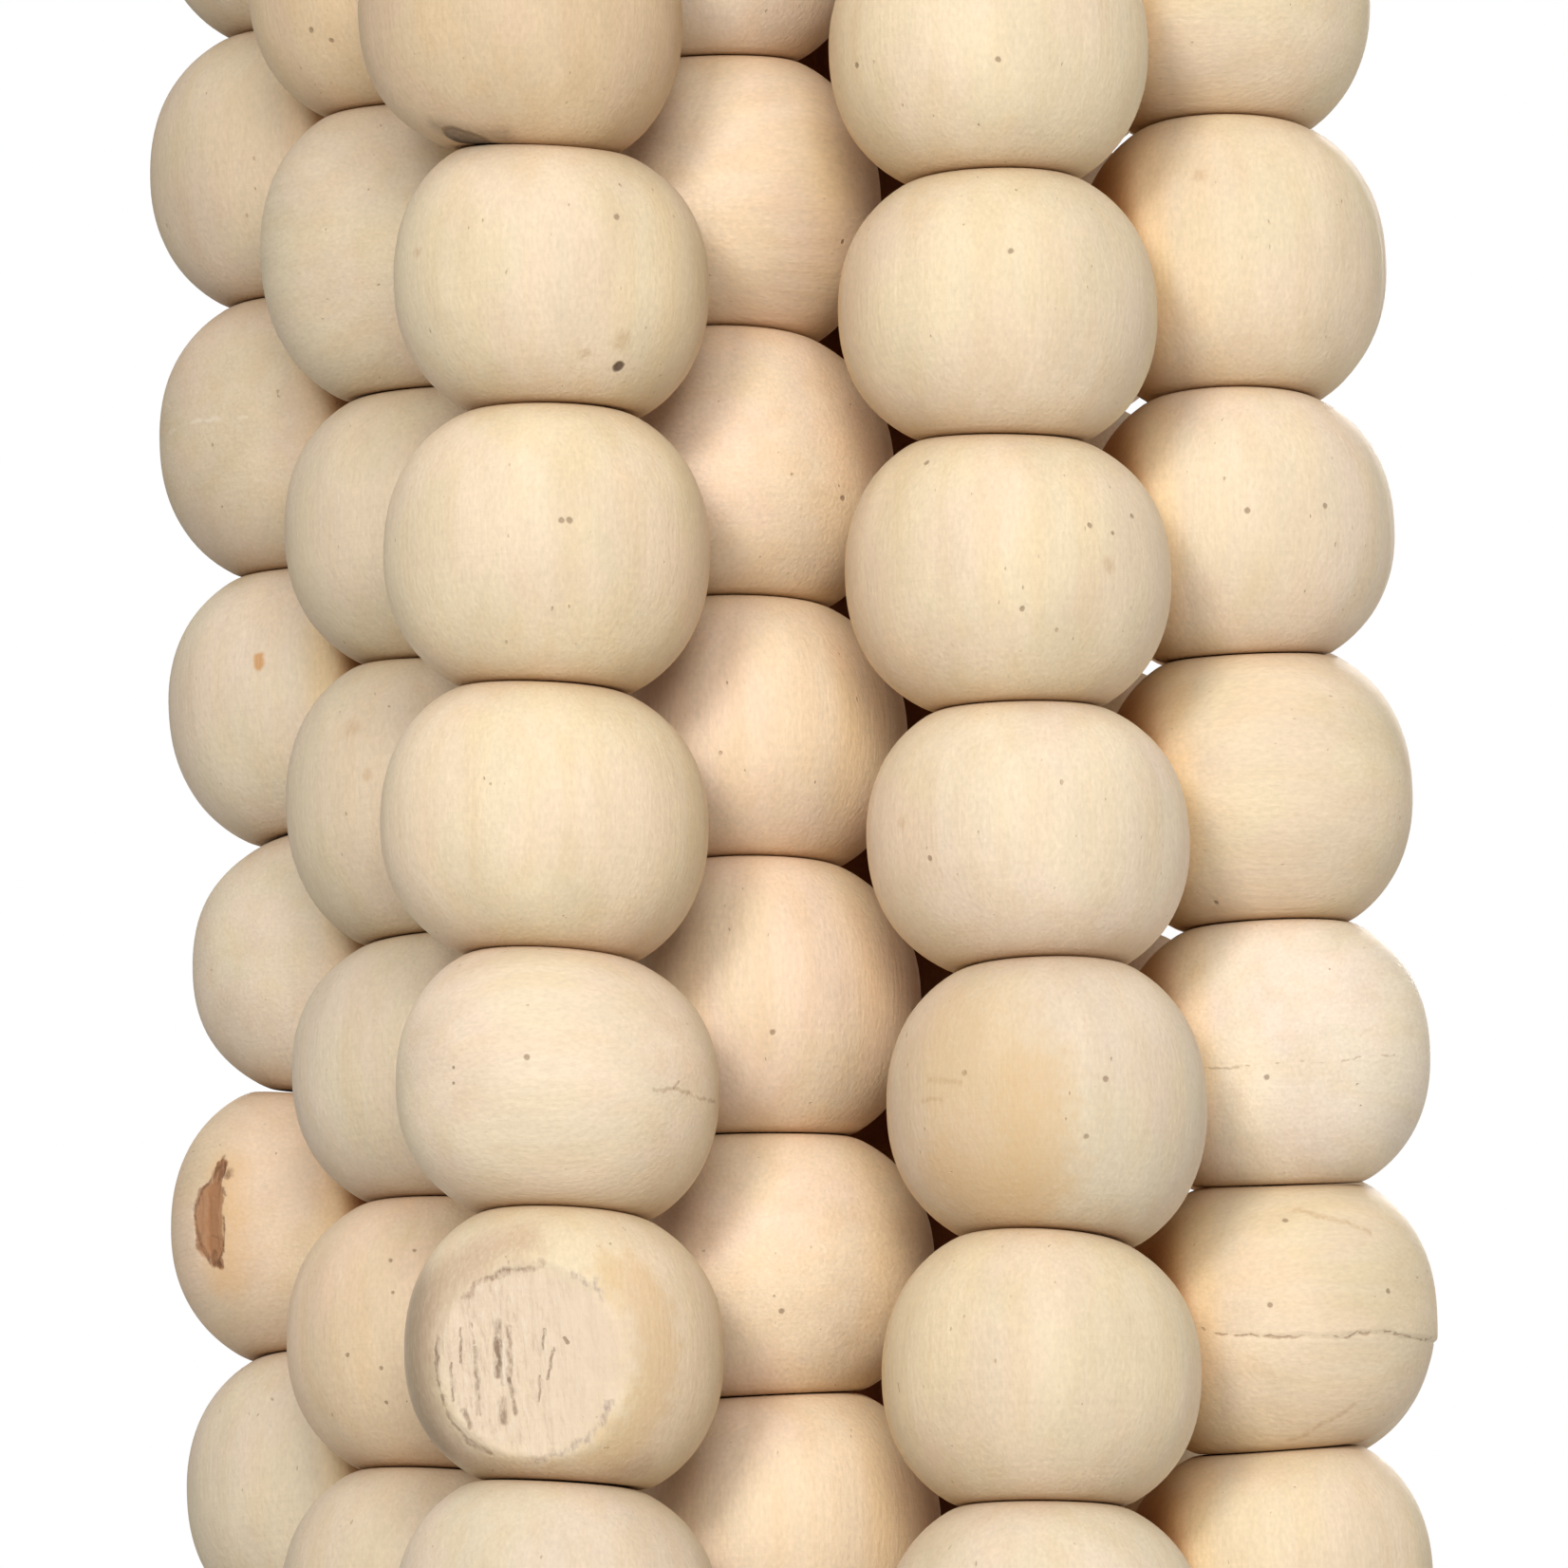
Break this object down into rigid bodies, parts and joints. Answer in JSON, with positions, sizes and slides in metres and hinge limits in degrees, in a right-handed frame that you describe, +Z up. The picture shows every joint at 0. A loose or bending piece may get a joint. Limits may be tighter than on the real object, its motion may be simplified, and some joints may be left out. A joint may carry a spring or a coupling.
{
  "type": "wood bead tassel",
  "caption": "Long hanging tassel of plain round wood beads strung on knotted cords, gathered in a bound cord head with a hanging loop.",
  "frame": {"origin": "inner top of the hanging loop, on its middle, where a hook bears", "axes": "+Z up along the tassel, -Y towards the picture's camera, +X to that viewer's right"},
  "size_m": [0.0804, 0.0752, 0.359],
  "materials": {
    "bead_wood": "raw pale turned wood, sanded but unvarnished, fine grain with a few knots and cracks",
    "natural_cord": "twisted natural cotton and jute cord, matt"
  },
  "bodies": {
    "root": {"hanging_loop": "natural_cord", "head_binding": "natural_cord", "strand_01_beads": "bead_wood", "strand_01_cord": "natural_cord", "strand_02_beads": "bead_wood", "strand_02_cord": "natural_cord", "strand_03_beads": "bead_wood", "strand_03_cord": "natural_cord", "strand_04_beads": "bead_wood", "strand_04_cord": "natural_cord", "strand_05_beads": "bead_wood", "strand_05_cord": "natural_cord", "strand_06_beads": "bead_wood", "strand_06_cord": "natural_cord", "strand_07_beads": "bead_wood", "strand_07_cord": "natural_cord", "strand_08_beads": "bead_wood", "strand_08_cord": "natural_cord", "strand_09_beads": "bead_wood", "strand_09_cord": "natural_cord", "strand_10_beads": "bead_wood", "strand_10_cord": "natural_cord", "strand_11_beads": "bead_wood", "strand_11_cord": "natural_cord"}
  },
  "joints": []
}
